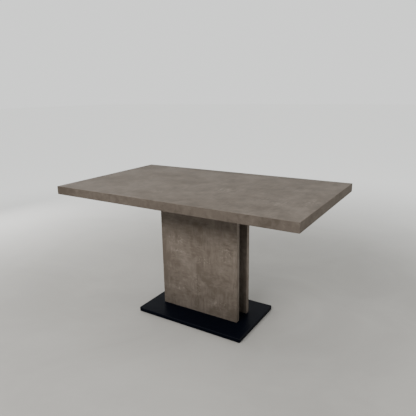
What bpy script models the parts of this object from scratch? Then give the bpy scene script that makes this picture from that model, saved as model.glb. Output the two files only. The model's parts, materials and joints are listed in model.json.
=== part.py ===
"""Extendable pedestal dining table.

A one-piece hollow-core top on a two-panel column and a black base plate.
Under each end a leaf is stowed inside the hollow of the top. It swings down,
out and up on two pairs of parallel arms until it lies flush against the end
edge, and two bolts per leaf lock it in its stowed and in its open position.

Metres, +Z up, +X along the long side. The origin is on the floor under the
middle of the top. Everything moving is drawn in its stowed position.
"""
from math import acos, asin, atan2, cos, hypot, pi, radians, sin, tau

import bmesh
import bpy

# --- driving dimensions ------------------------------------------------------
TOP_LENGTH = 1.400
TOP_WIDTH = 0.820
TOP_HEIGHT = 0.765
EDGE_HEIGHT = 0.045
BOARD_THICKNESS = 0.016
BAND_THICKNESS = 0.002
EDGE_RAIL_WIDTH = 0.020
STIFFENER_WIDTH = 0.020
STIFFENER_Y = 0.300

BASE_LENGTH = 0.670
BASE_WIDTH = 0.412
BASE_TOP = 0.026
GLIDE_HEIGHT = 0.004
GLIDE_RADIUS = 0.018
GLIDE_INSET = 0.040
BASE_CORNER_RADIUS = 0.006
BASE_CORNER_STEPS = 5

PANEL_WIDTH = 0.495
PANEL_THICKNESS = 0.028
COLUMN_DEPTH = 0.145
COLUMN_SIDE_RECESS = 0.060
COLUMN_SIDE_THICKNESS = 0.016
COLUMN_BLOCK_HEIGHT = 0.040

HEAD_PLATE_THICKNESS = 0.006
HEAD_PLATE_LENGTH = 0.440
FRAME_HALF_WIDTH = 0.200
FRAME_HALF_LENGTH = 0.370
FRAME_TUBE_HEIGHT = 0.040
FRAME_TUBE_WIDTH = 0.020
FRAME_CROSS_X = 0.340
TUBE_WALL = 0.002

LEAF_LENGTH = 0.300
LEAF_WIDTH = 0.770
LEAF_THICKNESS = 0.022
LEAF_STOWED_DROP = 0.002
LEAF_OUTER_GAP = 0.003
LEAF_JOINT_GAP = 0.0008

CARRIER_SIZE = 0.020
CARRIER_UNDER_EDGE = 0.002
CARRIER_INNER_X = 0.020
CARRIER_OUTER_MARGIN = 0.015
CARRIER_Y = 0.233
LEAF_BATTEN_WIDTH = 0.030
LEAF_BATTEN_MARGIN = 0.002
CROSS_TUBE_X = 0.570

ARM_THICKNESS = 0.006
ARM_HALF_WIDTH = 0.0075
ARM_EYE_RADIUS = 0.0100
ARM_EYE_STEPS = 16
ARM_SIDE_GAP = 0.001
ARM_RISE_SPARE = 0.001
OUTER_PIVOT_X = 0.345
PIVOT_SPACING_X = 0.058
PIVOT_SPACING_Z = 0.021
STUD_RADIUS = 0.004
HOLE_RADIUS = 0.0045

BRACKET_THICKNESS = 0.0057
BRACKET_TOP_Z = 0.742
BRACKET_CORNER_RADIUS = 0.006
BRACKET_EYE_RADIUS = 0.010
BRACKET_EYE_SHIFT = 0.004
BOLT_OPEN_X = 0.358
BOLT_RADIUS = 0.004
BOLT_TRAVEL = 0.021
BOLT_KNOB_RADIUS = 0.010
BOLT_KNOB_LENGTH = 0.014
BOLT_CHAMFER = 0.001
KEEPER_HALF_LENGTH = 0.050

GAP = 0.0003
FINE_BEVEL = 0.0008
PLATE_BEVEL = 0.0015
ROUND_SEGMENTS = 24
SHARP_ANGLE = radians(35)
WELD_OVERLAP = 0.0015

# --- worked out from them ----------------------------------------------------
HALF_LENGTH = TOP_LENGTH / 2
HALF_WIDTH = TOP_WIDTH / 2
EDGE_BOTTOM = TOP_HEIGHT - EDGE_HEIGHT
BOARD_BOTTOM = TOP_HEIGHT - BOARD_THICKNESS
CORE_TOP = BOARD_BOTTOM - GAP

FRAME_TOP = CORE_TOP
FRAME_BOTTOM = FRAME_TOP - FRAME_TUBE_HEIGHT
HEAD_PLATE_TOP = FRAME_BOTTOM - GAP
COLUMN_TOP = HEAD_PLATE_TOP - HEAD_PLATE_THICKNESS - GAP

LEAF_TOP = BOARD_BOTTOM - LEAF_STOWED_DROP
LEAF_BOTTOM = LEAF_TOP - LEAF_THICKNESS
LEAF_OUTER_X = HALF_LENGTH - BAND_THICKNESS - EDGE_RAIL_WIDTH - LEAF_OUTER_GAP
LEAF_INNER_X = LEAF_OUTER_X - LEAF_LENGTH
LEAF_LIFT = TOP_HEIGHT - LEAF_TOP
LEAF_TRAVEL = HALF_LENGTH + LEAF_JOINT_GAP - LEAF_INNER_X

# The arms end above level, so the leaf clears the bottom of the end edge
# before it starts to move in over it.
OPEN_RISE = (EDGE_HEIGHT + ARM_RISE_SPARE) / 2
STOWED_RISE = OPEN_RISE - LEAF_LIFT
STOWED_RUN = (LEAF_TRAVEL + (OPEN_RISE**2 - STOWED_RISE**2) / LEAF_TRAVEL) / 2
ARM_LENGTH = hypot(STOWED_RUN, STOWED_RISE)
ARM_STOWED_ANGLE = pi - asin(STOWED_RISE / ARM_LENGTH)

CARRIER_OPEN_Z = EDGE_BOTTOM - CARRIER_UNDER_EDGE - CARRIER_SIZE / 2
CARRIER_Z = CARRIER_OPEN_Z - LEAF_LIFT
CARRIER_TOP = CARRIER_Z + CARRIER_SIZE / 2
CARRIER_OUTER_X = LEAF_OUTER_X - CARRIER_OUTER_MARGIN
CARRIER_FACE_Y = CARRIER_Y - CARRIER_SIZE / 2
OUTER_PIVOT_Z = CARRIER_OPEN_Z - OPEN_RISE
INNER_PIVOT_X = OUTER_PIVOT_X - PIVOT_SPACING_X
INNER_PIVOT_Z = OUTER_PIVOT_Z - PIVOT_SPACING_Z
OUTER_LEAF_PIVOT_X = OUTER_PIVOT_X - STOWED_RUN
INNER_LEAF_PIVOT_X = INNER_PIVOT_X - STOWED_RUN
INNER_LEAF_PIVOT_Z = INNER_PIVOT_Z + STOWED_RISE

BRACKET_Y = FRAME_HALF_WIDTH + GAP + BRACKET_THICKNESS / 2
BRACKET_FACE_Y = FRAME_HALF_WIDTH + GAP + BRACKET_THICKNESS
INNER_ARM_Y = BRACKET_FACE_Y + ARM_SIDE_GAP + ARM_THICKNESS / 2
OUTER_ARM_Y = INNER_ARM_Y + ARM_THICKNESS + 2 * ARM_SIDE_GAP
BOLT_X = BOLT_OPEN_X - LEAF_TRAVEL
BOLT_OPEN_Z = CARRIER_OPEN_Z
BOLT_TIP_Y = CARRIER_FACE_Y + GAP
BOLT_KNOB_Y = CARRIER_FACE_Y + CARRIER_SIZE + BOLT_TRAVEL + ARM_SIDE_GAP

SIDES = (("right", 1), ("left", -1))
EDGES = (("front", -1), ("rear", 1))


# --- materials ---------------------------------------------------------------
def make_material(name, colour, roughness, metallic=0.0):
    material = bpy.data.materials.new(name)
    material.use_nodes = True
    material.diffuse_color = (*colour, 1.0)
    shader = material.node_tree.nodes["Principled BSDF"]
    shader.inputs["Base Color"].default_value = (*colour, 1.0)
    shader.inputs["Roughness"].default_value = roughness
    shader.inputs["Metallic"].default_value = metallic
    return material


def make_materials():
    return {
        "stone_laminate": make_material("stone_laminate", (0.21, 0.185, 0.165), 0.55),
        "core_board": make_material("core_board", (0.36, 0.27, 0.18), 0.80),
        "black_board": make_material("black_board", (0.012, 0.012, 0.013), 0.50),
        "black_lacquer": make_material("black_lacquer", (0.008, 0.008, 0.010), 0.38),
        "black_steel": make_material("black_steel", (0.015, 0.015, 0.016), 0.45, 0.6),
        "zinc_steel": make_material("zinc_steel", (0.55, 0.55, 0.53), 0.35, 1.0),
        "felt": make_material("felt", (0.03, 0.03, 0.03), 0.95),
    }


# --- mesh helpers ------------------------------------------------------------
def place(name, mesh, centre, material, parent=None):
    """Put a mesh in the scene with its origin at a world point."""
    piece = bpy.data.objects.new(name, mesh)
    bpy.context.scene.collection.objects.link(piece)
    piece.location = centre
    if parent is not None:
        piece.parent = parent
        piece.location = [c - p for c, p in zip(centre, parent.location)]
    if material is not None:
        mesh.materials.append(material)
    return piece


def make_pivot(name, centre):
    """An empty on a joint's axis, which carries the pieces that turn on it."""
    pivot = bpy.data.objects.new(name, None)
    pivot.empty_display_size = 0.03
    pivot.location = centre
    bpy.context.scene.collection.objects.link(pivot)
    return pivot


def to_mesh(bm, name):
    bmesh.ops.recalc_face_normals(bm, faces=bm.faces)
    mesh = bpy.data.meshes.new(name)
    bm.to_mesh(mesh)
    bm.free()
    return mesh


def box_mesh(name, size, bevel=0.0, bevel_edges=None):
    """A box about its centre. bevel_edges picks the edges that are eased."""
    bm = bmesh.new()
    bmesh.ops.create_cube(bm, size=1.0)
    bmesh.ops.scale(bm, vec=size, verts=bm.verts)
    if bevel > 0:
        edges = [e for e in bm.edges if bevel_edges is None or bevel_edges(e)]
        bmesh.ops.bevel(bm, geom=edges, offset=bevel, segments=2, profile=0.5, affect="EDGES")
    return to_mesh(bm, name)


def add_box(name, size, centre, material, parent=None, bevel=0.0, bevel_edges=None):
    return place(name, box_mesh(name, size, bevel, bevel_edges), centre, material, parent)


def circle(u, v, radius, segments=ROUND_SEGMENTS):
    return [(u + radius * cos(tau * i / segments), v + radius * sin(tau * i / segments))
            for i in range(segments)]


def arc(u, v, radius, start, end, segments):
    return [(u + radius * cos(start + (end - start) * i / segments),
             v + radius * sin(start + (end - start) * i / segments))
            for i in range(segments + 1)]


def plate_mesh(name, outline, holes, thickness):
    """A flat plate in the XZ plane with round holes, thickness along Y."""
    bm = bmesh.new()
    edges = []
    for loop in [outline, *holes]:
        verts = [bm.verts.new((u, -thickness / 2, v)) for u, v in loop]
        edges += [bm.edges.new((a, b)) for a, b in zip(verts, verts[1:] + verts[:1])]
    faces = bmesh.ops.triangle_fill(bm, use_beauty=True, use_dissolve=False, edges=edges)["geom"]
    faces = [f for f in faces if isinstance(f, bmesh.types.BMFace)]
    extruded = bmesh.ops.extrude_face_region(bm, geom=faces, use_keep_orig=True)["geom"]
    moved = [v for v in extruded if isinstance(v, bmesh.types.BMVert)]
    bmesh.ops.translate(bm, vec=(0, thickness, 0), verts=moved)
    return to_mesh(bm, name)


def round_along_y(name, radius, length):
    """A cylinder about its centre with its axis along Y."""
    bm = bmesh.new()
    bmesh.ops.create_cone(bm, cap_ends=True, segments=ROUND_SEGMENTS,
                          radius1=radius, radius2=radius, depth=length)
    for vert in bm.verts:
        x, y, z = vert.co
        vert.co = (x, z, -y)
    return to_mesh(bm, name)


def shape_with(piece, operation, mesh, centre):
    """Add a Boolean to a piece with a hidden tool at a world point."""
    tool = place(f"{piece.name}_tool_{len(piece.modifiers)}", mesh, centre, None)
    tool.hide_render = True
    tool.display_type = "WIRE"
    step = piece.modifiers.new(f"{operation.lower()}_{len(piece.modifiers)}", "BOOLEAN")
    step.operation = operation
    step.solver = "EXACT"
    step.object = tool


def shade_round(piece):
    piece.data.shade_smooth()
    piece.data.set_sharp_from_angle(angle=SHARP_ANGLE)


def add_tube(name, length, height, width, axis, centre, material, parent=None):
    """An open-ended rectangular steel tube along X or Y."""
    outer = (length, width, height) if axis == "X" else (width, length, height)
    inner_width = width - 2 * TUBE_WALL
    inner_height = height - 2 * TUBE_WALL
    through = length + 2 * WELD_OVERLAP
    inner = (through, inner_width, inner_height) if axis == "X" else (inner_width, through, inner_height)
    tube = add_box(name, outer, centre, material, parent)
    shape_with(tube, "DIFFERENCE", box_mesh(f"{name}_bore", inner), centre)
    return tube


# --- pedestal ----------------------------------------------------------------
def build_base(materials):
    plate_height = BASE_TOP - GLIDE_HEIGHT
    half_length = BASE_LENGTH / 2
    half_width = BASE_WIDTH / 2
    corner_x = half_length - BASE_CORNER_RADIUS
    corner_y = half_width - BASE_CORNER_RADIUS
    outline = []
    for index, (sx, sy) in enumerate([(1, 1), (-1, 1), (-1, -1), (1, -1)]):
        start = index * pi / 2
        outline += arc(sx * corner_x, sy * corner_y, BASE_CORNER_RADIUS, start, start + pi / 2,
                       BASE_CORNER_STEPS)
    bm = bmesh.new()
    verts = [bm.verts.new((x, y, -plate_height / 2)) for x, y in outline]
    bottom = bm.faces.new(verts)
    lifted = bmesh.ops.extrude_face_region(bm, geom=[bottom], use_keep_orig=True)["geom"]
    top_verts = [v for v in lifted if isinstance(v, bmesh.types.BMVert)]
    bmesh.ops.translate(bm, vec=(0, 0, plate_height), verts=top_verts)
    rim = [e for e in bm.edges if all(v.co.z > 0 for v in e.verts) and len(e.link_faces) == 2]
    bmesh.ops.bevel(bm, geom=rim, offset=PLATE_BEVEL, segments=2, profile=0.5, affect="EDGES")
    centre = (0, 0, GLIDE_HEIGHT + plate_height / 2)
    place("base_plate", to_mesh(bm, "base_plate"), centre, materials["black_lacquer"])

    glide_height = GLIDE_HEIGHT - GAP
    for edge, sy in EDGES:
        for side, sx in SIDES:
            bm = bmesh.new()
            bmesh.ops.create_cone(bm, cap_ends=True, segments=ROUND_SEGMENTS,
                                  radius1=GLIDE_RADIUS, radius2=GLIDE_RADIUS, depth=glide_height)
            name = f"floor_glide_{edge}_{side}"
            spot = (sx * (half_length - GLIDE_INSET), sy * (half_width - GLIDE_INSET), glide_height / 2)
            shade_round(place(name, to_mesh(bm, name), spot, materials["felt"]))


def build_column(materials):
    bottom = BASE_TOP + GAP
    height = COLUMN_TOP - bottom
    middle = bottom + height / 2
    panel_y = (COLUMN_DEPTH - PANEL_THICKNESS) / 2
    for edge, sy in EDGES:
        add_box(f"column_panel_{edge}", (PANEL_WIDTH, PANEL_THICKNESS, height),
                (0, sy * panel_y, middle), materials["stone_laminate"], bevel=FINE_BEVEL)

    inner_depth = COLUMN_DEPTH - 2 * PANEL_THICKNESS - 2 * GAP
    side_x = PANEL_WIDTH / 2 - COLUMN_SIDE_RECESS - COLUMN_SIDE_THICKNESS / 2
    for side, sx in SIDES:
        add_box(f"column_side_{side}", (COLUMN_SIDE_THICKNESS, inner_depth, height),
                (sx * side_x, 0, middle), materials["black_board"])

    block_length = 2 * (side_x - COLUMN_SIDE_THICKNESS / 2 - GAP)
    block_size = (block_length, inner_depth, COLUMN_BLOCK_HEIGHT)
    low_z = bottom + COLUMN_BLOCK_HEIGHT / 2
    high_z = COLUMN_TOP - COLUMN_BLOCK_HEIGHT / 2
    add_box("column_foot_block", block_size, (0, 0, low_z), materials["core_board"])
    add_box("column_head_block", block_size, (0, 0, high_z), materials["core_board"])


# --- top ---------------------------------------------------------------------
def build_top(materials):
    laminate = materials["stone_laminate"]
    board_length = TOP_LENGTH - 2 * (BAND_THICKNESS + GAP)
    board_width = TOP_WIDTH - 2 * (BAND_THICKNESS + GAP)
    add_box("top_board", (board_length, board_width, BOARD_THICKNESS),
            (0, 0, TOP_HEIGHT - BOARD_THICKNESS / 2), laminate)

    rail_height = CORE_TOP - EDGE_BOTTOM
    rail_z = EDGE_BOTTOM + rail_height / 2
    rail_y = HALF_WIDTH - BAND_THICKNESS - GAP - EDGE_RAIL_WIDTH / 2
    rail_x = HALF_LENGTH - BAND_THICKNESS - GAP - EDGE_RAIL_WIDTH / 2
    end_rail_length = 2 * (rail_y - EDGE_RAIL_WIDTH / 2 - GAP)
    for edge, sy in EDGES:
        add_box(f"edge_rail_{edge}", (board_length, EDGE_RAIL_WIDTH, rail_height),
                (0, sy * rail_y, rail_z), materials["core_board"])
    for side, sx in SIDES:
        add_box(f"edge_rail_{side}", (EDGE_RAIL_WIDTH, end_rail_length, rail_height),
                (sx * rail_x, 0, rail_z), materials["core_board"])
    for edge, sy in EDGES:
        add_box(f"top_stiffener_{edge}", (2 * FRAME_HALF_LENGTH, STIFFENER_WIDTH, rail_height),
                (0, sy * STIFFENER_Y, rail_z), materials["core_board"])

    band_z = EDGE_BOTTOM + EDGE_HEIGHT / 2
    band_y = HALF_WIDTH - BAND_THICKNESS / 2
    band_x = HALF_LENGTH - BAND_THICKNESS / 2
    end_band_length = TOP_WIDTH - 2 * (BAND_THICKNESS + GAP)
    for edge, sy in EDGES:
        def on_outer_face(e, sy=sy):
            return all(v.co.y * sy > 0 for v in e.verts)
        add_box(f"edge_band_{edge}", (TOP_LENGTH, BAND_THICKNESS, EDGE_HEIGHT),
                (0, sy * band_y, band_z), laminate, bevel=FINE_BEVEL, bevel_edges=on_outer_face)
    for side, sx in SIDES:
        def on_outer_rim(e, sx=sx):
            outside = all(v.co.x * sx > 0 for v in e.verts)
            return outside and abs(e.verts[0].co.z - e.verts[1].co.z) < EDGE_HEIGHT / 2
        add_box(f"edge_band_{side}", (BAND_THICKNESS, end_band_length, EDGE_HEIGHT),
                (sx * band_x, 0, band_z), laminate, bevel=FINE_BEVEL, bevel_edges=on_outer_rim)


# --- steel frame under the top -----------------------------------------------
def build_frame(materials):
    steel = materials["black_steel"]
    head_width = 2 * FRAME_HALF_WIDTH
    add_box("head_plate", (HEAD_PLATE_LENGTH, head_width, HEAD_PLATE_THICKNESS),
            (0, 0, HEAD_PLATE_TOP - HEAD_PLATE_THICKNESS / 2), steel)

    tube_z = (FRAME_TOP + FRAME_BOTTOM) / 2
    rail_y = FRAME_HALF_WIDTH - FRAME_TUBE_WIDTH / 2
    for edge, sy in EDGES:
        add_tube(f"frame_rail_{edge}", 2 * FRAME_HALF_LENGTH, FRAME_TUBE_HEIGHT, FRAME_TUBE_WIDTH,
                 "X", (0, sy * rail_y, tube_z), steel)
    cross_length = 2 * (rail_y - FRAME_TUBE_WIDTH / 2 - GAP)
    for side, sx in SIDES:
        add_tube(f"frame_cross_{side}", cross_length, FRAME_TUBE_HEIGHT, FRAME_TUBE_WIDTH,
                 "Y", (sx * FRAME_CROSS_X, 0, tube_z), steel)


def tangent_outline(centres):
    """The outline of a belt round circles, given counter-clockwise as (u, v, radius)."""
    points = []
    count = len(centres)
    leaving = []
    for i in range(count):
        u0, v0, r0 = centres[i]
        u1, v1, r1 = centres[(i + 1) % count]
        run = hypot(u1 - u0, v1 - v0)
        heading = atan2(v1 - v0, u1 - u0)
        leaving.append(heading - acos((r0 - r1) / run))
    for i in range(count):
        u, v, radius = centres[i]
        start = leaving[i - 1]
        end = leaving[i]
        while end < start:
            end += tau
        steps = max(2, round((end - start) / (tau / ROUND_SEGMENTS)))
        points += arc(u, v, radius, start, end, steps)
    return points


def build_brackets(materials):
    steel = materials["black_steel"]
    corner = BRACKET_CORNER_RADIUS
    eye = BRACKET_EYE_RADIUS
    for side, sx in SIDES:
        for edge, sy in EDGES:
            name = f"pivot_bracket_{edge}_{side}"
            centres = [
                (INNER_PIVOT_X, INNER_PIVOT_Z, eye),
                (OUTER_PIVOT_X + BRACKET_EYE_SHIFT, OUTER_PIVOT_Z, eye),
                (FRAME_HALF_LENGTH - corner, BOLT_OPEN_Z, corner),
                (FRAME_HALF_LENGTH - corner, BRACKET_TOP_Z - corner, corner),
                (INNER_PIVOT_X - eye + corner, BRACKET_TOP_Z - corner, corner),
            ]
            outline = [(sx * u, v) for u, v in tangent_outline(centres)]
            hole = [(sx * u, v) for u, v in circle(BOLT_OPEN_X, BOLT_OPEN_Z, HOLE_RADIUS)]
            middle = (0, sy * BRACKET_Y, 0)
            plate = place(name, plate_mesh(name, outline, [hole], BRACKET_THICKNESS), middle, steel)
            for pivot_x, pivot_z, tip in (
                (OUTER_PIVOT_X, OUTER_PIVOT_Z, OUTER_ARM_Y + ARM_THICKNESS / 2),
                (INNER_PIVOT_X, INNER_PIVOT_Z, INNER_ARM_Y + ARM_THICKNESS / 2),
            ):
                root = BRACKET_FACE_Y - WELD_OVERLAP
                length = tip + ARM_SIDE_GAP / 2 - root
                stud = round_along_y(f"{name}_stud", STUD_RADIUS, length)
                shape_with(plate, "UNION", stud, (sx * pivot_x, sy * (root + length / 2), pivot_z))

    for edge, sy in EDGES:
        name = f"stow_keeper_{edge}"
        centres = [
            (-KEEPER_HALF_LENGTH + eye, CARRIER_Z, eye),
            (KEEPER_HALF_LENGTH - eye, CARRIER_Z, eye),
            (KEEPER_HALF_LENGTH - corner, BRACKET_TOP_Z - corner, corner),
            (-KEEPER_HALF_LENGTH + corner, BRACKET_TOP_Z - corner, corner),
        ]
        holes = [circle(sx * BOLT_X, CARRIER_Z, HOLE_RADIUS) for _, sx in SIDES]
        plate = plate_mesh(name, tangent_outline(centres), holes, BRACKET_THICKNESS)
        place(name, plate, (0, sy * BRACKET_Y, 0), steel)


# --- leaves ------------------------------------------------------------------
def arm_mesh(name):
    """A flat bar along +X from its first eye, with a hole in each eye."""
    neck = asin(ARM_HALF_WIDTH / ARM_EYE_RADIUS)
    outline = arc(ARM_LENGTH, 0, ARM_EYE_RADIUS, neck - pi, pi - neck, ARM_EYE_STEPS)
    outline += arc(0, 0, ARM_EYE_RADIUS, neck, tau - neck, ARM_EYE_STEPS)
    holes = [circle(0, 0, HOLE_RADIUS), circle(ARM_LENGTH, 0, HOLE_RADIUS)]
    return plate_mesh(name, outline, holes, ARM_THICKNESS)


def build_arms(side, sx, materials):
    """Both arm pairs of one leaf, each pair on the empty that marks its axis."""
    angle = ARM_STOWED_ANGLE if sx > 0 else pi - ARM_STOWED_ANGLE
    for pair, x, y, z in (
        ("outer", OUTER_PIVOT_X, OUTER_ARM_Y, OUTER_PIVOT_Z),
        ("inner", INNER_PIVOT_X, INNER_ARM_Y, INNER_PIVOT_Z),
    ):
        pivot = make_pivot(f"{side}_{pair}_arm_axis", (sx * x, 0, z))
        for edge, sy in EDGES:
            name = f"{pair}_arm_{edge}_{side}"
            arm = place(name, arm_mesh(name), (sx * x, sy * y, z), materials["black_steel"], pivot)
            arm.rotation_euler = (0, -angle, 0)


def build_carrier(name, sx, sy, materials, parent):
    """A steel tube under the leaf, with a lug, two pivot studs and a bolt hole."""
    length = CARRIER_OUTER_X - CARRIER_INNER_X
    middle = (sx * (CARRIER_INNER_X + length / 2), sy * CARRIER_Y, CARRIER_Z)
    tube = add_tube(name, length, CARRIER_SIZE, CARRIER_SIZE, "X", middle, materials["black_steel"], parent)

    lug_width = 2 * ARM_EYE_RADIUS
    lug_top = CARRIER_Z - CARRIER_SIZE / 2 + WELD_OVERLAP
    lug_bottom = INNER_LEAF_PIVOT_Z - ARM_EYE_RADIUS
    lug_size = (lug_width, ARM_THICKNESS, lug_top - lug_bottom)
    lug_y = CARRIER_FACE_Y + GAP + ARM_THICKNESS / 2
    lug = box_mesh(f"{name}_lug", lug_size)
    shape_with(tube, "UNION", lug, (sx * INNER_LEAF_PIVOT_X, sy * lug_y, (lug_top + lug_bottom) / 2))

    root = CARRIER_FACE_Y + WELD_OVERLAP
    for pivot_x, pivot_z, arm_y in (
        (OUTER_LEAF_PIVOT_X, CARRIER_Z, OUTER_ARM_Y),
        (INNER_LEAF_PIVOT_X, INNER_LEAF_PIVOT_Z, INNER_ARM_Y),
    ):
        tip = arm_y - ARM_THICKNESS / 2 - ARM_SIDE_GAP / 2
        stud = round_along_y(f"{name}_stud", STUD_RADIUS, root - tip)
        shape_with(tube, "UNION", stud, (sx * pivot_x, sy * (root + tip) / 2, pivot_z))

    bore = round_along_y(f"{name}_bolt_hole", HOLE_RADIUS, 2 * CARRIER_SIZE)
    shape_with(tube, "DIFFERENCE", bore, (sx * BOLT_X, sy * CARRIER_Y, CARRIER_Z))


def bolt_mesh(name, sy):
    """A turned bolt about its tip, with its shank and knob away from the middle."""
    shank = BOLT_KNOB_Y - BOLT_TIP_Y
    chamfer = BOLT_CHAMFER
    profile = [
        (0.0, 0.0), (BOLT_RADIUS - chamfer, 0.0), (BOLT_RADIUS, chamfer), (BOLT_RADIUS, shank),
        (BOLT_KNOB_RADIUS - chamfer, shank), (BOLT_KNOB_RADIUS, shank + chamfer),
        (BOLT_KNOB_RADIUS, shank + BOLT_KNOB_LENGTH - chamfer),
        (BOLT_KNOB_RADIUS - chamfer, shank + BOLT_KNOB_LENGTH), (0.0, shank + BOLT_KNOB_LENGTH),
    ]
    bm = bmesh.new()
    verts = [bm.verts.new((radius, sy * y, 0)) for radius, y in profile]
    edges = [bm.edges.new(pair) for pair in zip(verts, verts[1:])]
    bmesh.ops.spin(bm, geom=verts + edges, cent=(0, 0, 0), axis=(0, 1, 0), angle=tau,
                   steps=ROUND_SEGMENTS, use_merge=True)
    bmesh.ops.remove_doubles(bm, verts=bm.verts, dist=1e-6)
    return to_mesh(bm, name)


def build_leaf(side, sx, materials):
    build_arms(side, sx, materials)
    axis = make_pivot(f"{side}_leaf_axis", (sx * OUTER_LEAF_PIVOT_X, 0, CARRIER_Z))

    leaf_x = sx * (LEAF_INNER_X + LEAF_LENGTH / 2)
    add_box(f"leaf_board_{side}", (LEAF_LENGTH, LEAF_WIDTH, LEAF_THICKNESS),
            (leaf_x, 0, LEAF_BOTTOM + LEAF_THICKNESS / 2), materials["stone_laminate"], axis, FINE_BEVEL)

    batten_bottom = CARRIER_TOP + GAP
    batten_height = LEAF_BOTTOM - GAP - batten_bottom
    batten_start = LEAF_INNER_X + LEAF_BATTEN_MARGIN
    batten_length = CARRIER_OUTER_X - batten_start
    cross_y = CARRIER_FACE_Y - GAP
    for edge, sy in EDGES:
        build_carrier(f"leaf_carrier_{edge}_{side}", sx, sy, materials, axis)
        add_box(f"leaf_batten_{edge}_{side}", (batten_length, LEAF_BATTEN_WIDTH, batten_height),
                (sx * (batten_start + batten_length / 2), sy * CARRIER_Y, batten_bottom + batten_height / 2),
                materials["core_board"], axis)
        name = f"lock_bolt_{edge}_{side}"
        bolt_axis = make_pivot(f"{name}_axis", (sx * BOLT_X, sy * BOLT_TIP_Y, CARRIER_Z))
        bolt = place(name, bolt_mesh(name, sy), tuple(bolt_axis.location), materials["zinc_steel"], bolt_axis)
        shade_round(bolt)
    add_tube(f"leaf_cross_tube_{side}", 2 * cross_y, CARRIER_SIZE, CARRIER_SIZE, "Y",
             (sx * CROSS_TUBE_X, 0, CARRIER_Z), materials["black_steel"], axis)


def main():
    for leftover in list(bpy.data.objects):
        bpy.data.objects.remove(leftover, do_unlink=True)
    materials = make_materials()
    build_base(materials)
    build_column(materials)
    build_top(materials)
    build_frame(materials)
    build_brackets(materials)
    for side, sx in SIDES:
        build_leaf(side, sx, materials)


main()
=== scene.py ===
"""Looks for the extendable pedestal dining table.

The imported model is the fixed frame. This script adds its materials, the small
fittings around it (bolts, screws, push caps, end plugs, weld beads, bumpers,
knob sleeves), the floor, the light and the camera.
Metres, +Z up, +X along the table, -Y towards the viewer.
"""
import json
from math import cos, pi, radians, sin, tau

import bmesh
import bpy
from mathutils import Matrix, Vector


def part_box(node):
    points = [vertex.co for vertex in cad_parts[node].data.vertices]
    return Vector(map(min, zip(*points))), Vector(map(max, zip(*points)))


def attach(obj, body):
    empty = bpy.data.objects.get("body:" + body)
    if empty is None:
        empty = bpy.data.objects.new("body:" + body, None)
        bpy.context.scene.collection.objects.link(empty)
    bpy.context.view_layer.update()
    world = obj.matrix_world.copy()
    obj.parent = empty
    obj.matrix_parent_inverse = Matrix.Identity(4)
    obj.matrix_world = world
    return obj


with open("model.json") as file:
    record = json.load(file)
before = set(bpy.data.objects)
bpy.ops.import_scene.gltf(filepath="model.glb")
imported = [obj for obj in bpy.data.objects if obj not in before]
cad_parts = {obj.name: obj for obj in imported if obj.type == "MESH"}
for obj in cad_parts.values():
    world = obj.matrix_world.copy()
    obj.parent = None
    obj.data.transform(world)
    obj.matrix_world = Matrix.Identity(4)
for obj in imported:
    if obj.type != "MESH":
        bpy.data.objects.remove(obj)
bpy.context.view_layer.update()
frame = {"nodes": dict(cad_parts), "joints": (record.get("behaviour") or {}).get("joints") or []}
NODES = frame["nodes"]

SIDES = (("right", 1), ("left", -1))
EDGES = (("front", -1), ("rear", 1))
ROOT = "pedestal_and_top"
MM = 0.001


# --- camera, light and floor -------------------------------------------------
CAMERA_SPOT = (1.213, -1.895, 1.250)
CAMERA_YAW = 32.03
CAMERA_PITCH = 15.35
CAMERA_ROLL = -0.90
CAMERA_LENS = 36.24
SENSOR_WIDTH = 36.0
FLOOR_SIZE = 80.0
WORLD_COLOUR = (0.985, 1.0, 0.985, 1.0)
WORLD_STRENGTH = 1.2
WARM_WHITE = (1.0, 0.985, 0.96)
NEUTRAL_WHITE = (1.0, 0.99, 0.97)
SOFTBOXES = (    # name, place, aim, size, watts, colour
    ("front_softbox", (-0.3, -3.0, 2.46), (0.0, 0.0, 0.45), (2.4, 1.0), 122, WARM_WHITE),
    ("left_softbox", (-3.0, 0.4, 1.1), (0.1, 0.0, 0.2), (1.4, 0.8), 26, NEUTRAL_WHITE),
    ("right_softbox", (3.0, 0.3, 1.4), (0.6, 0.0, 0.5), (1.4, 1.2), 10, NEUTRAL_WHITE),
)
FLAG_SIZE = (10.0, 1.9)
FLAG_SPOT = (0.0, -3.3, 1.2)


def build_camera():
    data = bpy.data.cameras.new("camera")
    data.sensor_width = SENSOR_WIDTH
    data.lens = CAMERA_LENS
    data.clip_end = 200.0
    camera = bpy.data.objects.new("camera", data)
    bpy.context.scene.collection.objects.link(camera)
    turn = Matrix.Rotation(radians(CAMERA_YAW), 4, "Z")
    tilt = Matrix.Rotation(radians(90 - CAMERA_PITCH), 4, "X")
    roll = Matrix.Rotation(radians(CAMERA_ROLL), 4, "Z")
    camera.matrix_world = Matrix.Translation(CAMERA_SPOT) @ turn @ tilt @ roll
    bpy.context.scene.camera = camera


def add_softbox(name, spot, aim, size, power, colour):
    data = bpy.data.lights.new(name, "AREA")
    data.shape = "RECTANGLE"
    data.size = size[0]
    data.size_y = size[1]
    data.energy = power
    data.color = colour
    light = bpy.data.objects.new(name, data)
    light.location = spot
    light.rotation_euler = (Vector(aim) - Vector(spot)).to_track_quat("-Z", "Y").to_euler()
    light.visible_camera = False
    bpy.context.scene.collection.objects.link(light)


def build_light():
    for softbox in SOFTBOXES:
        add_softbox(*softbox)
    world = bpy.data.worlds.new("studio")
    world.use_nodes = True
    background = world.node_tree.nodes["Background"]
    background.inputs["Color"].default_value = WORLD_COLOUR
    background.inputs["Strength"].default_value = WORLD_STRENGTH
    bpy.context.scene.world = world


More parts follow.
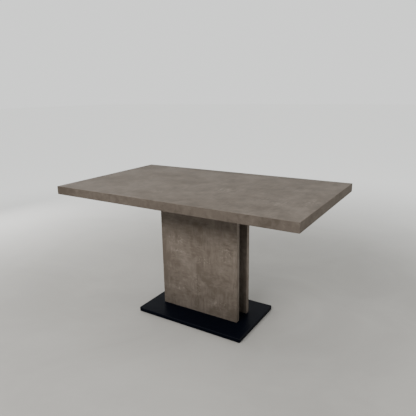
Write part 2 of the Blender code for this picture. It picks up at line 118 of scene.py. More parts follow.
# --- shader helper -----------------------------------------------------------
class Shader:
    """One material's node tree, with short calls for the nodes used here."""

    def __init__(self, name):
        self.material = bpy.data.materials.new(name)
        self.material.use_nodes = True
        self.tree = self.material.node_tree
        self.surface = self.tree.nodes["Principled BSDF"]
        self.coordinates = self.tree.nodes.new("ShaderNodeTexCoord")
        self.place = self.coordinates.outputs["Object"]

    def link(self, source, socket):
        if isinstance(source, (int, float)):
            socket.default_value = source
        elif isinstance(source, tuple):
            socket.default_value = (*source, 1.0) if len(socket.default_value) == 4 else source
        else:
            self.tree.links.new(source, socket)

    def moved(self, scale=(1, 1, 1), turn=(0, 0, 0), offset=(0, 0, 0), source=None):
        node = self.tree.nodes.new("ShaderNodeMapping")
        node.inputs["Location"].default_value = offset
        node.inputs["Rotation"].default_value = [radians(a) for a in turn]
        node.inputs["Scale"].default_value = scale
        self.link(source or self.place, node.inputs["Vector"])
        return node.outputs["Vector"]

    def noise(self, scale, detail=4.0, roughness=0.5, distortion=0.0, where=None):
        node = self.tree.nodes.new("ShaderNodeTexNoise")
        node.inputs["Scale"].default_value = scale
        node.inputs["Detail"].default_value = detail
        node.inputs["Roughness"].default_value = roughness
        node.inputs["Distortion"].default_value = distortion
        self.link(where or self.place, node.inputs["Vector"])
        return node.outputs["Fac"]

    def cells(self, scale, where=None, output="Distance"):
        node = self.tree.nodes.new("ShaderNodeTexVoronoi")
        node.inputs["Scale"].default_value = scale
        self.link(where or self.place, node.inputs["Vector"])
        return node.outputs[output]

    def spread(self, source, low, high, to_low=0.0, to_high=1.0):
        """Map a range of values to another, with a smooth start and end."""
        node = self.tree.nodes.new("ShaderNodeMapRange")
        node.interpolation_type = "SMOOTHSTEP"
        self.link(source, node.inputs["Value"])
        node.inputs["From Min"].default_value = low
        node.inputs["From Max"].default_value = high
        node.inputs["To Min"].default_value = to_low
        node.inputs["To Max"].default_value = to_high
        return node.outputs["Result"]

    def math(self, operation, first, second=0.0):
        node = self.tree.nodes.new("ShaderNodeMath")
        node.operation = operation
        self.link(first, node.inputs[0])
        self.link(second, node.inputs[1])
        return node.outputs[0]

    def total(self, *parts):
        """The sum of (weight, value) pairs."""
        result = None
        for weight, value in parts:
            term = self.math("MULTIPLY", value, weight)
            result = term if result is None else self.math("ADD", result, term)
        return result

    def blend(self, factor, first, second):
        """A value between two others."""
        gap = self.math("SUBTRACT", second, first)
        return self.math("ADD", first, self.math("MULTIPLY", gap, factor))

    def blob(self, centre, reach):
        """1 at a point, fading to 0 at an ellipsoid of the given half sizes round it."""
        scale = tuple(1 / r for r in reach)
        offset = tuple(-c / r for c, r in zip(centre, reach))
        node = self.tree.nodes.new("ShaderNodeVectorMath")
        node.operation = "LENGTH"
        self.link(self.moved(scale, offset=offset), node.inputs[0])
        return self.spread(node.outputs["Value"], 0.1, 1.0, 1.0, 0.0)

    def mix(self, factor, first, second, blend="MIX"):
        node = self.tree.nodes.new("ShaderNodeMix")
        node.data_type = "RGBA"
        node.blend_type = blend
        self.link(factor, node.inputs[0])
        self.link(first, node.inputs[6])
        self.link(second, node.inputs[7])
        return node.outputs[2]

    def bump(self, height, strength, distance):
        node = self.tree.nodes.new("ShaderNodeBump")
        node.inputs["Strength"].default_value = strength
        node.inputs["Distance"].default_value = distance
        self.link(height, node.inputs["Height"])
        self.link(node.outputs["Normal"], self.surface.inputs["Normal"])

    def facing(self, axis):
        """1 on faces that look along +axis, -1 on those that look back, in the piece's own frame."""
        split = self.tree.nodes.new("ShaderNodeSeparateXYZ")
        self.link(self.coordinates.outputs["Normal"], split.inputs[0])
        return split.outputs[axis]

    def height(self):
        """The height in the piece's own frame, in metres."""
        split = self.tree.nodes.new("ShaderNodeSeparateXYZ")
        self.link(self.place, split.inputs[0])
        return split.outputs["Z"]

    def finish(self, colour, roughness, metallic=0.0, specular=0.5):
        self.link(colour, self.surface.inputs["Base Color"])
        self.link(roughness, self.surface.inputs["Roughness"])
        self.surface.inputs["Metallic"].default_value = metallic
        self.surface.inputs["Specular IOR Level"].default_value = specular
        return self.material


# --- materials ---------------------------------------------------------------
LAMINATE = (0.150, 0.1245, 0.1035)
BACKING = (0.150, 0.130, 0.108)
# Heights of the painted highlight along the base plate's upper edge.
PAINTED_RIM_HIGHLIGHT = (0.0215, 0.0245)


def tint(colour, factor):
    return tuple(channel * factor for channel in colour)


def backing_paper(s, cloud):
    """The plain brown paper on the hidden face of a board."""
    fibres = s.noise(160.0, 4, 0.65)
    paper = s.mix(s.spread(fibres, 0.3, 0.7), tint(BACKING, 0.86), tint(BACKING, 1.12))
    return s.mix(s.spread(cloud, 0.40, 0.75), paper, tint(BACKING, 0.82))


def stone_laminate(name, colour, contrast, brushed, specular, rough, offset=(0, 0, 0), marks=(), tones_and_shade=(),
                   scuffed=0.68, painted_foot_shade=1.0, backed=False, fine=1.0):
    """Grey-brown trowelled-cement print on a matt laminate.

    brushed is how much of its tone is strokes; marks are (centre, reach) of
    patches where light scuffs gather, and scuffed is how far they turn pale;
    tones are (centre, reach, amount) of broad lighter or darker areas, partly
    print and partly painted shade; foot is painted shade, the factor the colour
    is darkened by near the floor, fading to 1 higher up. A backed board
    has plain paper on the face below; fine makes every mark that much smaller.
    """
    s = Shader(name)
    place = s.moved((fine, fine, fine), offset=offset)
    clouds = s.noise(5.0, 5, 0.55, 0.6, place)
    patches = s.noise(18.0, 5, 0.6, 0.5, place)
    dashes = s.noise(1.0, 3, 0.5, 0.3, s.moved((20, 85, 85), source=place))
    strokes = s.noise(1.0, 3, 0.5, 0.2, s.moved((80, 15, 15), source=place))
    grain = s.noise(310.0, 3, 0.65, 0.0, place)
    lay = s.spread(s.noise(7.0, 2, 0.5, 0.0, place), 0.44, 0.56)
    tone = s.total((0.30, clouds), (0.60 - brushed, patches), (brushed, s.blend(lay, dashes, strokes)),
                   (0.10, grain))
    # Broad lighter and darker areas: print tones, and where a table says so, painted shade.
    for centre, reach, amount in tones_and_shade:
        tone = s.math("ADD", tone, s.math("MULTIPLY", s.blob(centre, reach), amount))
    half_range = 0.15 / contrast
    tone = s.spread(tone, 0.5 - half_range, 0.5 + half_range)
    light = tint((colour[0], colour[1] * 1.01, colour[2] * 1.03), 1.24)
    dark = tint((colour[0], colour[1] * 0.985, colour[2] * 0.96), 0.76)
    shade = s.mix(s.spread(tone, 0.0, 0.55), dark, colour)
    shade = s.mix(s.spread(tone, 0.5, 1.0), shade, light)

    share = s.spread(s.noise(4.0, 3, 0.5, 0.0, place), 0.56, 0.70, 0.0, 0.3)
    for centre, reach in marks:
        share = s.math("MAXIMUM", share, s.blob(centre, reach))
    flecks = s.noise(1.0, 2, 0.5, 0.8, s.moved((70, 90, 120), (0, 8, 0), source=place))
    scuffs = s.spread(s.blend(0.30, flecks, strokes), 0.53, 0.62)
    pale = tint((colour[0], colour[1] * 1.03, colour[2] * 1.07), 1.85)
    shade = s.mix(s.math("MULTIPLY", scuffs, s.math("MULTIPLY", share, scuffed)), shade, pale)

    pores = s.spread(s.cells(120.0, place), 0.06, 0.16, 1.0, 0.0)
    pores = s.math("MULTIPLY", pores, s.spread(patches, 0.50, 0.62))
    shade = s.mix(s.math("MULTIPLY", pores, 0.45), shade, tint(colour, 0.5))
    # Painted shade: below 0.44 m the colour darkens towards the floor, by foot near the bottom.
    if painted_foot_shade < 1.0:
        rise = s.spread(s.height(), -0.10, 0.44)
        shade = s.mix(rise, s.mix(1.0, shade, (painted_foot_shade, painted_foot_shade, painted_foot_shade), "MULTIPLY"), shade)
    if backed:
        shade = s.mix(s.spread(s.facing("Z"), -0.9, -0.6, 1.0, 0.0), shade, backing_paper(s, clouds))
    relief = s.math("SUBTRACT", s.math("ADD", s.math("MULTIPLY", grain, 0.5), patches), pores)
    s.bump(relief, 0.12, 0.0006)
    return s.finish(shade, s.spread(patches, 0.3, 0.7, rough - 0.06, rough + 0.06), specular=specular)


def backed_board(name):
    """Chipboard: pale chips on its cut sides, a thin paper backing on the face below."""
    s = Shader(name)
    chips = s.cells(260.0, s.moved((1.0, 0.55, 1.3)), "Color")
    split = s.tree.nodes.new("ShaderNodeSeparateColor")
    s.link(chips, split.inputs[0])
    cloud = s.noise(9.0, 4, 0.5)
    wood = s.mix(split.outputs[0], (0.24, 0.16, 0.090), (0.44, 0.33, 0.21))
    wood = s.mix(s.spread(split.outputs[1], 0.82, 1.0), wood, (0.14, 0.08, 0.045))
    wood = s.mix(s.math("MULTIPLY", cloud, 0.35), wood, (0.35, 0.27, 0.17))
    below = s.spread(s.facing("Z"), -0.9, -0.6, 1.0, 0.0)
    s.bump(split.outputs[2], 0.22, 0.0006)
    colour = s.mix(below, wood, backing_paper(s, cloud))
    return s.finish(colour, s.spread(cloud, 0.3, 0.7, 0.74, 0.88), specular=0.3)


def black_melamine(name):
    s = Shader(name)
    pearl = s.noise(420.0, 2, 0.5)
    dust = s.noise(7.0, 6, 0.65)
    colour = s.mix(s.spread(dust, 0.35, 0.75), (0.0085, 0.0085, 0.0090), (0.0170, 0.0165, 0.0160))
    s.bump(pearl, 0.12, 0.0004)
    return s.finish(colour, s.spread(dust, 0.3, 0.7, 0.46, 0.60), specular=0.35)


def black_lacquer(name):
    """Silk-matt lacquer with faint wipe marks, a little dust and a painted highlight along the top of its
    sides.
    """
    s = Shader(name)
    wipes = s.noise(6.0, 6, 0.6, 1.2, s.moved((0.5, 1.6, 1.0), (0, 0, 28)))
    orange_peel = s.noise(190.0, 2, 0.4)
    dust = s.spread(s.noise(34.0, 8, 0.72), 0.58, 0.82)
    specks = s.spread(s.cells(22.0), 0.035, 0.055, 1.0, 0.0)
    colour = s.mix(s.math("MULTIPLY", dust, 0.25), (0.0012, 0.0019, 0.0046), (0.0085, 0.0085, 0.0090))
    colour = s.mix(s.math("MULTIPLY", specks, 0.30), colour, (0.045, 0.044, 0.042))
    # Painted highlight: a lighter band along the top few millimetres of the plate's sides.
    rim = s.spread(s.height(), *PAINTED_RIM_HIGHLIGHT)
    rim = s.math("MULTIPLY", rim, s.spread(s.facing("Z"), 0.3, 0.6, 1.0, 0.0))
    colour = s.mix(s.math("MULTIPLY", rim, 0.8), colour, (0.0135, 0.0145, 0.0185))
    rough = s.math("ADD", s.spread(wipes, 0.3, 0.7, 0.36, 0.46), s.math("MULTIPLY", dust, 0.10))
    s.bump(orange_peel, 0.03, 0.0008)
    return s.finish(colour, rough, specular=0.028)


def powder_coat(name):
    s = Shader(name)
    peel = s.noise(330.0, 3, 0.55)
    cloud = s.noise(11.0, 5, 0.6)
    colour = s.mix(s.spread(cloud, 0.35, 0.7), (0.011, 0.011, 0.012), (0.020, 0.020, 0.021))
    s.bump(peel, 0.22, 0.0006)
    return s.finish(colour, s.spread(peel, 0.3, 0.7, 0.40, 0.55), specular=0.5)


def zinc(name):
    """Bright zinc plating, with fine turning lines and small bloom spots."""
    s = Shader(name)
    lines = s.noise(90.0, 4, 0.6, 0.0, s.moved((1.0, 14.0, 1.0)))
    bloom = s.noise(60.0, 5, 0.7)
    colour = s.mix(s.spread(bloom, 0.4, 0.7), (0.62, 0.62, 0.60), (0.43, 0.43, 0.40))
    s.bump(lines, 0.10, 0.0003)
    return s.finish(colour, s.spread(bloom, 0.3, 0.7, 0.24, 0.42), metallic=1.0)


def felt(name):
    s = Shader(name)
    fibres = s.noise(900.0, 4, 0.7, 1.5)
    colour = s.mix(s.spread(fibres, 0.3, 0.7), (0.006, 0.006, 0.007), (0.026, 0.026, 0.025))
    s.bump(fibres, 0.6, 0.0010)
    s.surface.inputs["Sheen Weight"].default_value = 0.15
    s.surface.inputs["Sheen Roughness"].default_value = 0.5
    return s.finish(colour, s.spread(fibres, 0.3, 0.7, 0.88, 0.98), specular=0.2)


def moulded_plastic(name):
    s = Shader(name)
    grain = s.noise(500.0, 3, 0.6)
    colour = s.mix(s.spread(grain, 0.3, 0.7), (0.010, 0.010, 0.011), (0.024, 0.024, 0.024))
    s.bump(grain, 0.15, 0.0004)
    return s.finish(colour, s.spread(grain, 0.3, 0.7, 0.46, 0.62), specular=0.45)


def floor_material():
    """Pale floor that lightens away from the table, like a studio sweep: painted light, with painted shade
    round the table.
    """
    s = Shader("studio_floor")
    marks = s.noise(1.3, 6, 0.6, 0.8)
    distance = s.tree.nodes.new("ShaderNodeVectorMath")
    distance.operation = "LENGTH"
    s.link(s.place, distance.inputs[0])
    near = s.mix(s.spread(marks, 0.3, 0.7), (0.325, 0.315, 0.298), (0.365, 0.354, 0.336))
    # Painted light and shade: darker within 1 m of the table, lightening to near white by 4.5 m.
    colour = s.mix(s.spread(distance.outputs["Value"], 1.0, 4.5), near, (0.95, 0.95, 0.94))
    return s.finish(colour, 0.85, specular=0.1)


def flag_cloth(name):
    s = Shader(name)
    weave = s.noise(700.0, 3, 0.6)
    return s.finish(s.mix(weave, (0.010, 0.010, 0.010), (0.030, 0.030, 0.030)), 0.95, specular=0.1)


PANEL_MARKS = (
    ((-0.135, -0.07, 0.445), (0.110, 0.05, 0.040)),
    ((-0.120, -0.07, 0.378), (0.100, 0.05, 0.020)),
    ((0.180, -0.07, 0.420), (0.060, 0.05, 0.080)),
    ((0.040, -0.07, 0.345), (0.070, 0.05, 0.035)),
    ((-0.015, -0.07, 0.190), (0.050, 0.05, 0.100)),
    ((-0.120, -0.07, 0.146), (0.060, 0.05, 0.018)),
    ((0.130, -0.07, 0.110), (0.110, 0.05, 0.050)),
)
# Broad lighter and darker areas of the column panel's print; the last, darker along the panel's left edge,
# is painted shade.
PANEL_TONES_AND_SHADE = (
    ((0.120, -0.07, 0.400), (0.170, 0.30, 0.150), 0.022),
    ((0.000, -0.07, 0.210), (0.016, 0.30, 0.230), -0.050),
    ((-0.170, -0.07, 0.260), (0.110, 0.30, 0.110), -0.030),
    ((0.120, -0.07, 0.270), (0.120, 0.30, 0.100), 0.025),
    ((-0.250, -0.07, 0.330), (0.070, 0.30, 0.320), -0.100),
)
TOP_MARKS = (
    ((0.180, -0.05, 0.765), (0.100, 0.08, 0.05)),
    ((0.480, -0.16, 0.765), (0.180, 0.10, 0.05)),
    ((0.640, -0.10, 0.765), (0.060, 0.12, 0.05)),
    ((-0.640, -0.03, 0.765), (0.050, 0.10, 0.05)),
    ((-0.100, -0.24, 0.765), (0.120, 0.05, 0.05)),
)
# Painted shade: the left end of the front edge band is darker.
EDGE_END_SHADE = (
    ((-0.680, -0.410, 0.742), (0.160, 0.300, 0.100), -0.110),
)
# Broad lighter and darker areas of the top's print; the first two, darker along the back and at the right
# end, are painted shade.
TOP_TONES_AND_SHADE = (
    ((0.000, 0.420, 0.765), (0.800, 0.090, 0.10), -0.050),
    ((0.720, 0.000, 0.765), (0.080, 0.500, 0.10), -0.040),
    ((-0.560, 0.050, 0.765), (0.080, 0.20, 0.10), -0.030),
    ((0.360, -0.120, 0.765), (0.140, 0.05, 0.10), -0.030),
    ((0.500, -0.280, 0.765), (0.120, 0.10, 0.10), -0.040),
    ((0.100, 0.100, 0.765), (0.060, 0.20, 0.10), -0.020),
    ((-0.400, 0.250, 0.765), (0.200, 0.10, 0.10), 0.020),
    ((0.150, -0.150, 0.765), (0.300, 0.10, 0.10), 0.020),
)


def build_materials():
    # The top, leaves, edge band and column panel are one laminate, tinted apart as painted light and shade:
    # the column panel is painted lighter than the top and leaves (0.73) and the edge band (0.64), for how
    # light falls on each.
    return {
        "top": stone_laminate(
            "stone_top_face", tint(LAMINATE, 0.73), contrast=1.15, brushed=0.13, specular=0.07, rough=0.58,
            marks=TOP_MARKS, tones_and_shade=TOP_TONES_AND_SHADE, scuffed=0.42, backed=True),
        "edge": stone_laminate(
            "stone_edge_band", tint(LAMINATE, 0.64), contrast=0.75, brushed=0.10, specular=0.04, rough=0.70,
            offset=(3.1, 0.4, 1.7), tones_and_shade=EDGE_END_SHADE, fine=1.9),
        "panel": stone_laminate(
            "stone_column_panel", LAMINATE, contrast=1.15, brushed=0.25, specular=0.07, rough=0.58,
            offset=(7.3, 2.2, 5.1), marks=PANEL_MARKS, tones_and_shade=PANEL_TONES_AND_SHADE, painted_foot_shade=0.62),
        "leaf": stone_laminate(
            "stone_leaf", tint(LAMINATE, 0.73), contrast=0.95, brushed=0.13, specular=0.07, rough=0.58,
            offset=(0.7, 0.3, 0.2), scuffed=0.42, backed=True),
        "board": backed_board("backed_chipboard"),
        "melamine": black_melamine("black_melamine"),
        "lacquer": black_lacquer("black_lacquer"),
        "steel": powder_coat("black_powder_coat"),
        "zinc": zinc("zinc_plating"),
        "felt": felt("black_felt"),
        "plastic": moulded_plastic("black_plastic"),
    }


NODE_MATERIALS = (
    ("top_board", "top"), ("edge_band", "edge"), ("column_panel", "panel"), ("leaf_board", "leaf"),
    ("column_side", "melamine"), ("base_plate", "lacquer"), ("floor_glide", "felt"),
    ("lock_bolt", "zinc"), ("edge_rail", "board"), ("top_stiffener", "board"),
    ("leaf_batten", "board"), ("column_foot", "board"), ("column_head", "board"),
)


def dress_cad(materials):
    """Give every CAD node its material. What isn't listed is black steel."""
    for name, node in NODES.items():
        key = next((key for start, key in NODE_MATERIALS if name.startswith(start)), "steel")
        node.data.materials.clear()
        node.data.materials.append(materials[key])


def stage_plane(name, size, material):
    bm = bmesh.new()
    bmesh.ops.create_grid(bm, x_segments=1, y_segments=1, size=0.5)
    mesh = bpy.data.meshes.new(name)
    bm.to_mesh(mesh)
    bm.free()
    mesh.transform(Matrix.Diagonal((*size, 1.0, 1.0)))
    mesh.materials.append(material)
    plane = bpy.data.objects.new(name, mesh)
    bpy.context.scene.collection.objects.link(plane)
    return plane


def build_stage():
    """The floor, and a black flag in front that keeps low light off the column, under the top."""
    stage_plane("floor", (FLOOR_SIZE, FLOOR_SIZE), floor_material())
    flag = stage_plane("front_flag", FLAG_SIZE, flag_cloth("flag_cloth"))
    flag.location = FLAG_SPOT
    flag.rotation_euler = (radians(90), 0, 0)
    flag.visible_camera = False


# --- mesh helpers ------------------------------------------------------------
def ring(radius, height, segments):
    return [(radius * cos(tau * i / segments), radius * sin(tau * i / segments), height)
            for i in range(segments)]


def loft(loops, joined=False):
    """Skin loops of equal length. Its ends are capped, or joined to each other."""
    bm = bmesh.new()
    rows = [[bm.verts.new(point) for point in loop] for loop in loops]
    count = len(rows[0])
    pairs = list(zip(rows, rows[1:]))
    if joined:
        pairs.append((rows[-1], rows[0]))
    else:
        bm.faces.new(reversed(rows[0]))
        bm.faces.new(rows[-1])
    for low, high in pairs:
        for i in range(count):
            j = (i + 1) % count
            bm.faces.new((low[i], low[j], high[j], high[i]))
    bmesh.ops.recalc_face_normals(bm, faces=bm.faces)
    return bm


def turned(profile, segments=24):
    """A turned shape about Z from (radius, height) points."""
    return loft([ring(radius, height, segments) for radius, height in profile])


def stamp(target, template, spot, direction):
    """Add a copy of a template to a mesh, its +Z turned to a direction."""
    turn = Vector(direction).to_track_quat("Z", "Y").to_matrix().to_4x4()
    mesh = bpy.data.meshes.new("stamp")
    template.to_mesh(mesh)
    mesh.transform(Matrix.Translation(spot) @ turn)
    target.from_mesh(mesh)
    bpy.data.meshes.remove(mesh)


def add_piece(name, bm, material, body, sharp=32):
    mesh = bpy.data.meshes.new(name)
    bm.to_mesh(mesh)
    bm.free()
    mesh.materials.append(material)
    mesh.shade_smooth()
    mesh.set_sharp_from_angle(angle=radians(sharp))
    piece = bpy.data.objects.new(name, mesh)
    bpy.context.scene.collection.objects.link(piece)
    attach(piece, body)
    return piece


# --- templates of the fittings -----------------------------------------------
def hex_bolt():
    """An M6 hexagon flange bolt head, standing on z = 0."""
    bm = turned([(6.4 * MM, 0), (6.4 * MM, 0.7 * MM), (5.6 * MM, 1.3 * MM), (5.0 * MM, 1.5 * MM)])
    flats = turned([(5.3 * MM, 1.0 * MM), (5.3 * MM, 4.2 * MM), (4.7 * MM, 4.7 * MM), (2.6 * MM, 4.7 * MM),
                    (2.2 * MM, 4.4 * MM)], 6)
    stamp(bm, flats, (0, 0, 0), (0, 0, 1))
    flats.free()
    return bm


def cross_screw(radius=4.2 * MM, height=2.6 * MM):
    """A pan-head screw with a cross recess, standing on z = 0."""
    segments = 24
    bm = loft([ring(radius, 0, segments), ring(radius, 0.25 * height, segments),
               ring(0.93 * radius, 0.60 * height, segments), ring(0.78 * radius, 0.88 * height, segments),
               ring(0.62 * radius, height, segments)])
    bmesh.ops.delete(bm, geom=[max(bm.faces, key=lambda f: f.calc_center_median().z)], context="FACES_ONLY")
    rim = [e for e in bm.edges if e.is_boundary]
    reach = 0.50 * radius
    half = 0.11 * radius
    corners = [(reach, half), (half, half), (half, reach)]
    outline = []
    for quarter in range(4):
        c, n = cos(quarter * pi / 2), sin(quarter * pi / 2)
        outline += [(c * u - n * v, n * u + c * v) for u, v in corners]
    mouth = [bm.verts.new((u, v, height)) for u, v in outline]
    floor = [bm.verts.new((0.6 * u, 0.6 * v, 0.35 * height)) for u, v in outline]
    slot_edges = [bm.edges.new(pair) for pair in zip(mouth, mouth[1:] + mouth[:1])]
    bmesh.ops.triangle_fill(bm, use_beauty=True, use_dissolve=False, edges=rim + slot_edges)
    for i in range(len(mouth)):
        j = (i + 1) % len(mouth)
        bm.faces.new((mouth[i], mouth[j], floor[j], floor[i]))
    bm.faces.new(floor)
    bmesh.ops.recalc_face_normals(bm, faces=bm.faces)
    return bm


def push_cap():
    """A domed push-on cap for the end of a pivot stud."""
    return turned([(6.0 * MM, 0), (6.0 * MM, 0.25 * MM), (4.9 * MM, 0.45 * MM), (4.5 * MM, 0.85 * MM),
                   (3.4 * MM, 1.15 * MM), (1.4 * MM, 1.25 * MM)])


def rounded_loop(width, height, corner, level, steps=4):
    points = []
    for index, (sx, sy) in enumerate([(1, 1), (-1, 1), (-1, -1), (1, -1)]):
        for step in range(steps + 1):
            angle = (index + step / steps) * pi / 2
            points.append((sx * (width / 2 - corner) + corner * cos(angle),
                           sy * (height / 2 - corner) + corner * sin(angle), level))
    return points


def end_plug(width, height):
    """A plastic plug for a rectangular tube: its flange, eased, with a shallow dish."""
    flange = 1.5 * MM
    ease = 0.5 * MM
    rim = 2.6 * MM
    return loft([
        rounded_loop(width, height, 1.6 * MM, 0),
        rounded_loop(width, height, 1.6 * MM, flange - ease),
        rounded_loop(width - 2 * ease, height - 2 * ease, 1.3 * MM, flange),
        rounded_loop(width - 2 * rim, height - 2 * rim, 1.0 * MM, flange),
        rounded_loop(width - 2 * rim - 2 * ease, height - 2 * rim - 2 * ease, 0.8 * MM, flange - ease),
    ])


def knob_sleeve(radius, length):
    """A ribbed grip sleeve round a knob, standing on z = 0."""
    ribs = 30
    segments = 4 * ribs
    bore = radius + 0.08 * MM

    def ribbed(base, depth, level):
        points = []
        for i in range(segments):
            reach = base + depth * (0.5 + 0.5 * cos(tau * i * ribs / segments))
            points.append((reach * cos(tau * i / segments), reach * sin(tau * i / segments), level))
        return points

    return loft([
        ring(bore, 0, segments), ribbed(bore + 0.5 * MM, 0, 0),
        ribbed(bore + 0.9 * MM, 0.6 * MM, 0.6 * MM), ribbed(bore + 0.9 * MM, 0.6 * MM, length - 0.6 * MM),
        ribbed(bore + 0.5 * MM, 0, length), ring(bore, length, segments),
    ], joined=True)


def weld_bead(length, radius):
    """A rippled bead along Z, from z = 0."""
    ripple = 1.6 * MM
    steps = round(length / ripple) * 4
    loops = []
    for i in range(steps + 1):
        share = i / steps
        fade = min(1.0, 6 * share, 6 * (1 - share))
        swell = 0.86 + 0.14 * cos(share * tau * length / ripple)
        loops.append(ring(radius * (0.35 + 0.65 * fade) * swell, share * length, 10))
    return loft(loops)


# --- the fittings in their places ---------------------------------------------
HEAD_PLATE_BOLT_X = (-0.19, -0.065, 0.065, 0.19)
RAIL_SCREW_X = (0.25, 0.30)
KEEPER_BOLT_X = (-0.032, 0.032)
BRACKET_BOLT_SHARES = (0.16, 0.50, 0.84)
BRACKET_BOLT_DROP = 0.014
BASE_SCREW_X = (-0.16, 0.0, 0.16)
BASE_SCREW_Y = (-0.059, 0.059)
BUMPER_INSET = 0.04
BUMPER_Y = (-0.30, 0.30)
CARRIER_TUBE = 20 * MM
CARRIER_GAP = 0.3 * MM
CARRIER_SCREW_SHARES = (0.08, 0.40, 0.92)
CAP_GAP = 0.1 * MM
SLEEVE_LENGTH = 10 * MM
SLEEVE_START = 12 * MM
RAIL_BEAD_RADIUS = 1.9 * MM
CROSS_BEAD_RADIUS = 1.5 * MM
ROUND_EDGES = 60


def middle(low, high):
    return (low + high) / 2


def build_frame_fittings(materials):
    """Bolts, screws, plugs and weld beads of the fixed steel frame."""
    bolts = bmesh.new()
    screws = bmesh.new()
    plugs = bmesh.new()
    beads = bmesh.new()
    bolt = hex_bolt()
    screw = cross_screw()
    plate_low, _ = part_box("head_plate")
    for edge, sy in EDGES:
        rail_low, rail_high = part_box(f"frame_rail_{edge}")
        rail_y = middle(rail_low.y, rail_high.y)
        for x in HEAD_PLATE_BOLT_X:
            stamp(bolts, bolt, (x, rail_y, plate_low.z), (0, 0, -1))
        for x in RAIL_SCREW_X:
            for sx in (1, -1):
                stamp(screws, screw, (sx * x, rail_y, rail_low.z), (0, 0, -1))
        plug = end_plug(rail_high.z - rail_low.z, rail_high.y - rail_low.y)
        for sx, x in ((1, rail_high.x), (-1, rail_low.x)):
            stamp(plugs, plug, (x, rail_y, middle(rail_low.z, rail_high.z)), (sx, 0, 0))
        plug.free()

        keeper_low, keeper_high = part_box(f"stow_keeper_{edge}")
        face_y = keeper_high.y if sy > 0 else keeper_low.y
        bolt_z = keeper_high.z - BRACKET_BOLT_DROP
        for x in KEEPER_BOLT_X:
            stamp(bolts, bolt, (x, face_y, bolt_z), (0, sy, 0))
        for side, sx in SIDES:
            low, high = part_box(f"pivot_bracket_{edge}_{side}")
            inner_x, outer_x = (low.x, high.x) if sx > 0 else (high.x, low.x)
            for share in BRACKET_BOLT_SHARES:
                stamp(bolts, bolt, (inner_x + share * (outer_x - inner_x), face_y, bolt_z), (0, sy, 0))

    for side, _ in SIDES:
        low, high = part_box(f"frame_cross_{side}")
        width_bead = weld_bead(high.x - low.x, RAIL_BEAD_RADIUS)
        for y in (low.y, high.y):
            stamp(beads, width_bead, (low.x, y, low.z), (1, 0, 0))
        width_bead.free()
    add_piece("frame_bolts", bolts, materials["zinc"], ROOT)
    add_piece("frame_screws", screws, materials["zinc"], ROOT)
    add_piece("frame_end_plugs", plugs, materials["plastic"], ROOT)
    add_piece("frame_weld_beads", beads, materials["steel"], ROOT, ROUND_EDGES)


def build_base_fittings(materials):
    """Large countersunk screws under the base plate, up into the column."""
    low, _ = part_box("base_plate")
    heads = bmesh.new()
    head = cross_screw(7.0 * MM, 1.4 * MM)
    for x in BASE_SCREW_X:
        for y in BASE_SCREW_Y:
            stamp(heads, head, (x, y, low.z), (0, 0, -1))
    add_piece("base_screws", heads, materials["zinc"], ROOT)


def build_bumpers(materials):
    """Soft stops under the top board, against which a stowed leaf is held."""
    board_low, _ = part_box("top_board")
    pads = bmesh.new()
    pad = turned([(8.0 * MM, 0), (8.0 * MM, 0.7 * MM), (7.2 * MM, 1.3 * MM), (5.0 * MM, 1.5 * MM)])
    for side, _ in SIDES:
        leaf_low, leaf_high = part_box(f"leaf_board_{side}")
        for x in (leaf_low.x + BUMPER_INSET, leaf_high.x - BUMPER_INSET):
            for y in BUMPER_Y:
                stamp(pads, pad, (x, y, board_low.z), (0, 0, -1))
    add_piece("leaf_bumpers", pads, materials["plastic"], ROOT)


def stud_places(side):
    """(x, z) of one side's studs: outer and inner on the bracket, outer and inner on the leaf."""
    joints = {joint["name"]: joint for joint in frame["joints"]}
    outer = joints[f"{side}_leaf_swing"]["pos_m"]
    inner = joints[f"{side}_inner_arm_swing"]["pos_m"]
    outer_leaf = joints[f"{side}_leaf_level"]["pos_m"]
    run = outer_leaf[0] - outer[0]
    rise = outer_leaf[2] - outer[2]
    return ((outer[0], outer[2]), (inner[0], inner[2]),
            (outer_leaf[0], outer_leaf[2]), (inner[0] + run, inner[2] + rise))


def build_stud_caps(side, materials):
    """Caps on the ends of the pivot studs: on the bracket outwards, on the leaf inwards."""
    outer, inner, outer_leaf, inner_leaf = stud_places(side)
    bracket_caps = bmesh.new()
    leaf_caps = bmesh.new()
    cap = push_cap()
    for edge, sy in EDGES:
        arm_low, arm_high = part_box(f"outer_arm_{edge}_{side}")
        inner_low, inner_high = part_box(f"inner_arm_{edge}_{side}")
        outer_faces = sorted((abs(arm_low.y), abs(arm_high.y)))
        inner_faces = sorted((abs(inner_low.y), abs(inner_high.y)))
        stamp(bracket_caps, cap, (outer[0], sy * (outer_faces[1] + CAP_GAP), outer[1]), (0, sy, 0))
        stamp(bracket_caps, cap, (inner[0], sy * (inner_faces[1] + CAP_GAP), inner[1]), (0, sy, 0))
        stamp(leaf_caps, cap, (outer_leaf[0], sy * (outer_faces[0] - CAP_GAP), outer_leaf[1]), (0, -sy, 0))
        stamp(leaf_caps, cap, (inner_leaf[0], sy * (inner_faces[0] - CAP_GAP), inner_leaf[1]), (0, -sy, 0))
    add_piece(f"bracket_stud_caps_{side}", bracket_caps, materials["zinc"], ROOT)
    add_piece(f"leaf_stud_caps_{side}", leaf_caps, materials["zinc"], f"{side}_leaf")


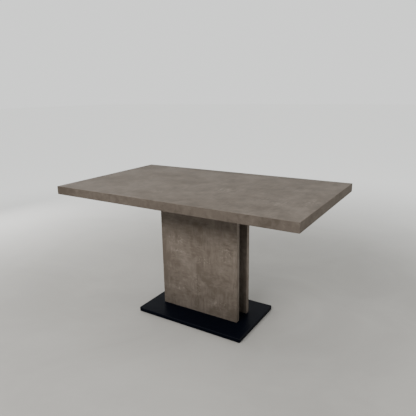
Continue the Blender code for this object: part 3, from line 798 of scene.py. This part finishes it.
def build_carrier_fittings(side, materials):
    """Screws, plugs and weld beads of the tubes that carry one leaf."""
    body = f"{side}_leaf"
    screws = bmesh.new()
    plugs = bmesh.new()
    beads = bmesh.new()
    screw = cross_screw()
    plug = end_plug(CARRIER_TUBE, CARRIER_TUBE)
    for edge, _ in EDGES:
        batten_low, batten_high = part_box(f"leaf_batten_{edge}_{side}")
        carrier_low, carrier_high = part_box(f"leaf_carrier_{edge}_{side}")
        carrier_y = middle(batten_low.y, batten_high.y)
        tube_bottom = batten_low.z - CARRIER_GAP - CARRIER_TUBE
        for share in CARRIER_SCREW_SHARES:
            x = batten_low.x + share * (batten_high.x - batten_low.x)
            stamp(screws, screw, (x, carrier_y, tube_bottom), (0, 0, -1))
        for x, facing in ((carrier_high.x, 1), (carrier_low.x, -1)):
            stamp(plugs, plug, (x, carrier_y, tube_bottom + CARRIER_TUBE / 2), (facing, 0, 0))

    cross_low, cross_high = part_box(f"leaf_cross_tube_{side}")
    bead = weld_bead(cross_high.x - cross_low.x, CROSS_BEAD_RADIUS)
    for y in (cross_low.y, cross_high.y):
        for z in (cross_low.z, cross_high.z):
            stamp(beads, bead, (cross_low.x, y, z), (1, 0, 0))
    add_piece(f"leaf_screws_{side}", screws, materials["zinc"], body)
    add_piece(f"carrier_end_plugs_{side}", plugs, materials["plastic"], body)
    add_piece(f"leaf_weld_beads_{side}", beads, materials["steel"], body, ROUND_EDGES)


def build_bolt_fittings(side, materials):
    """A ribbed sleeve on each lock bolt's knob, and a thin guide flange on the tube round it."""
    flanges = bmesh.new()
    for edge, sy in EDGES:
        low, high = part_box(f"lock_bolt_{edge}_{side}")
        x = middle(low.x, high.x)
        z = middle(low.z, high.z)
        knob_end = high.y if sy > 0 else low.y
        sleeve = knob_sleeve((high.z - low.z) / 2, SLEEVE_LENGTH)
        grip = bmesh.new()
        stamp(grip, sleeve, (x, knob_end - sy * SLEEVE_START, z), (0, sy, 0))
        body = f"{side}_{edge}_bolt"
        add_piece(f"knob_sleeve_{edge}_{side}", grip, materials["plastic"], body)

        batten_low, batten_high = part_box(f"leaf_batten_{edge}_{side}")
        tube_face = sy * (abs(middle(batten_low.y, batten_high.y)) + CARRIER_TUBE / 2)
        flange = loft([ring(4.3 * MM, 0, 24), ring(8.0 * MM, 0, 24), ring(8.0 * MM, 0.5 * MM, 24),
                       ring(7.4 * MM, 0.7 * MM, 24), ring(4.3 * MM, 0.7 * MM, 24)], joined=True)
        stamp(flanges, flange, (x, tube_face, z), (0, sy, 0))
    add_piece(f"bolt_flanges_{side}", flanges, materials["zinc"], f"{side}_leaf")


def main():
    build_camera()
    build_light()
    build_stage()
    materials = build_materials()
    dress_cad(materials)
    build_frame_fittings(materials)
    build_base_fittings(materials)
    build_bumpers(materials)
    for side, _ in SIDES:
        build_stud_caps(side, materials)
        build_carrier_fittings(side, materials)
        build_bolt_fittings(side, materials)


main()
